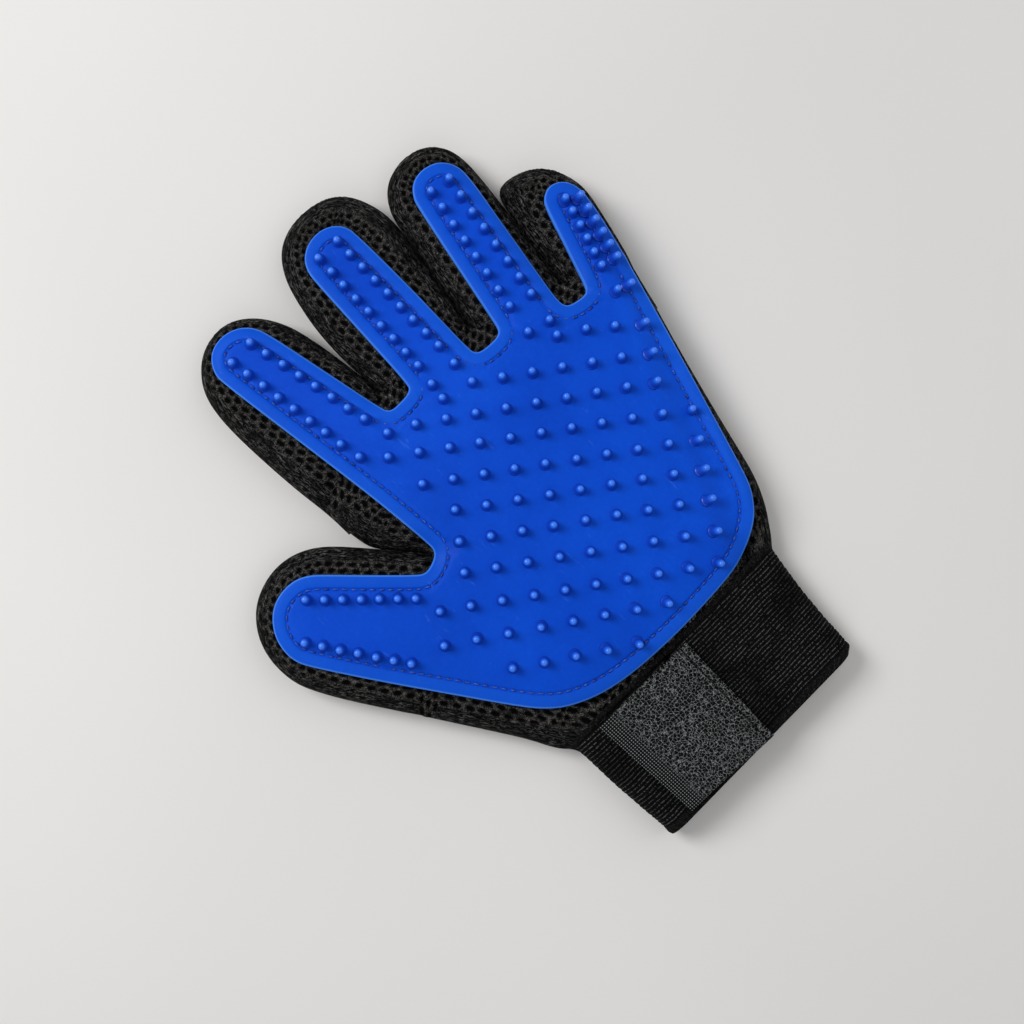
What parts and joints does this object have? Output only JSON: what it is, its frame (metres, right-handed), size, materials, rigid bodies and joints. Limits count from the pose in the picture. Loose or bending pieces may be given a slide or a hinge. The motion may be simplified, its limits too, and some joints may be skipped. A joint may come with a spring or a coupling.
{
  "type": "pet grooming glove",
  "caption": "Five-finger left-hand grooming glove with a nubbed rubber curry pad sewn to its palm side, knit gussets, elastic cuff and peel-up wrist tab.",
  "frame": {"origin": "middle of the footprint, on the surface that the back of the glove rests on", "axes": "+Z out of the palm side, +Y from the cuff towards the fingertips, +X towards the little finger"},
  "size_m": [0.196, 0.2449, 0.0248],
  "materials": {
    "blue_rubber": "satin moulded rubber",
    "navy_thread": "twisted polyester thread",
    "black_thread": "twisted polyester thread",
    "black_mesh": "open warp-knit mesh",
    "black_jersey": "fine matt jersey",
    "ribbed_knit": "dense ribbed knit",
    "black_elastic": "ribbed woven elastic",
    "black_binding": "folded binding tape",
    "grey_hook_tape": "hook tape with a woven back",
    "black_loop_tape": "brushed loop tape"
  },
  "bodies": {
    "palm": {"back_of_hand_panel": "black_jersey", "cuff_elastic_band": "black_elastic", "cuff_hem_binding": "black_binding", "cuff_seam": "black_elastic", "finger_crotch_gussets": "ribbed_knit", "inner_palm_gusset": "ribbed_knit", "loop_patch": "black_loop_tape", "outer_palm_gusset": "ribbed_knit", "palm_curry_pad": "blue_rubber", "palm_mesh_panel": "black_mesh", "palm_pad_stitching": "navy_thread", "tab_box_stitching": "black_thread", "tab_sewn_end": "grey_hook_tape", "thumb_web_gusset": "ribbed_knit"},
    "wrist_strap": {"hook_patch": "grey_hook_tape", "tab_edge_stitching": "black_thread", "wrist_tab": "grey_hook_tape"},
    "index_finger": {"index_back_panel": "black_jersey", "index_curry_pad": "blue_rubber", "index_pad_stitching": "navy_thread", "index_palm_side_mesh": "black_mesh", "index_side_gusset": "ribbed_knit"},
    "little_finger": {"little_back_panel": "black_jersey", "little_curry_pad": "blue_rubber", "little_pad_stitching": "navy_thread", "little_palm_side_mesh": "black_mesh", "little_side_gusset": "ribbed_knit"},
    "middle_finger": {"middle_back_panel": "black_jersey", "middle_curry_pad": "blue_rubber", "middle_pad_stitching": "navy_thread", "middle_palm_side_mesh": "black_mesh", "middle_side_gusset": "ribbed_knit"},
    "ring_finger": {"ring_back_panel": "black_jersey", "ring_curry_pad": "blue_rubber", "ring_pad_stitching": "navy_thread", "ring_palm_side_mesh": "black_mesh", "ring_side_gusset": "ribbed_knit"},
    "thumb": {"thumb_back_panel": "black_jersey", "thumb_curry_pad": "blue_rubber", "thumb_pad_stitching": "navy_thread", "thumb_palm_side_mesh": "black_mesh", "thumb_side_gusset": "ribbed_knit"}
  },
  "joints": [
    {"name": "thumb_flex", "type": "hinge", "parent": "palm", "child": "thumb", "pos_m": [-0.03235, 0.00215, 0.0198], "axis": [0.7694, 0.6388, 0], "range_deg": [0, 65], "stiffness_Nm_per_rad": 0.02},
    {"name": "index_finger_flex", "type": "hinge", "parent": "palm", "child": "index_finger", "pos_m": [-0.00735, 0.05035, 0.0198], "axis": [0.9863, 0.165, 0], "range_deg": [0, 65], "stiffness_Nm_per_rad": 0.02},
    {"name": "middle_finger_flex", "type": "hinge", "parent": "palm", "child": "middle_finger", "pos_m": [0.01315, 0.04915, 0.0198], "axis": [0.9984, -0.0558, 0], "range_deg": [0, 65], "stiffness_Nm_per_rad": 0.02},
    {"name": "ring_finger_flex", "type": "hinge", "parent": "palm", "child": "ring_finger", "pos_m": [0.04915, 0.04015, 0.0198], "axis": [0.9813, -0.1925, 0], "range_deg": [0, 65], "stiffness_Nm_per_rad": 0.02},
    {"name": "little_finger_flex", "type": "hinge", "parent": "palm", "child": "little_finger", "pos_m": [0.07895, 0.02895, 0.0198], "axis": [0.9632, -0.2689, 0], "range_deg": [0, 65], "stiffness_Nm_per_rad": 0.02},
    {"name": "wrist_tab_peel", "type": "hinge", "parent": "palm", "child": "wrist_strap", "pos_m": [0.00125, -0.09995, 0.0168], "axis": [0, 1, 0], "range_deg": [0, 150]}
  ]
}
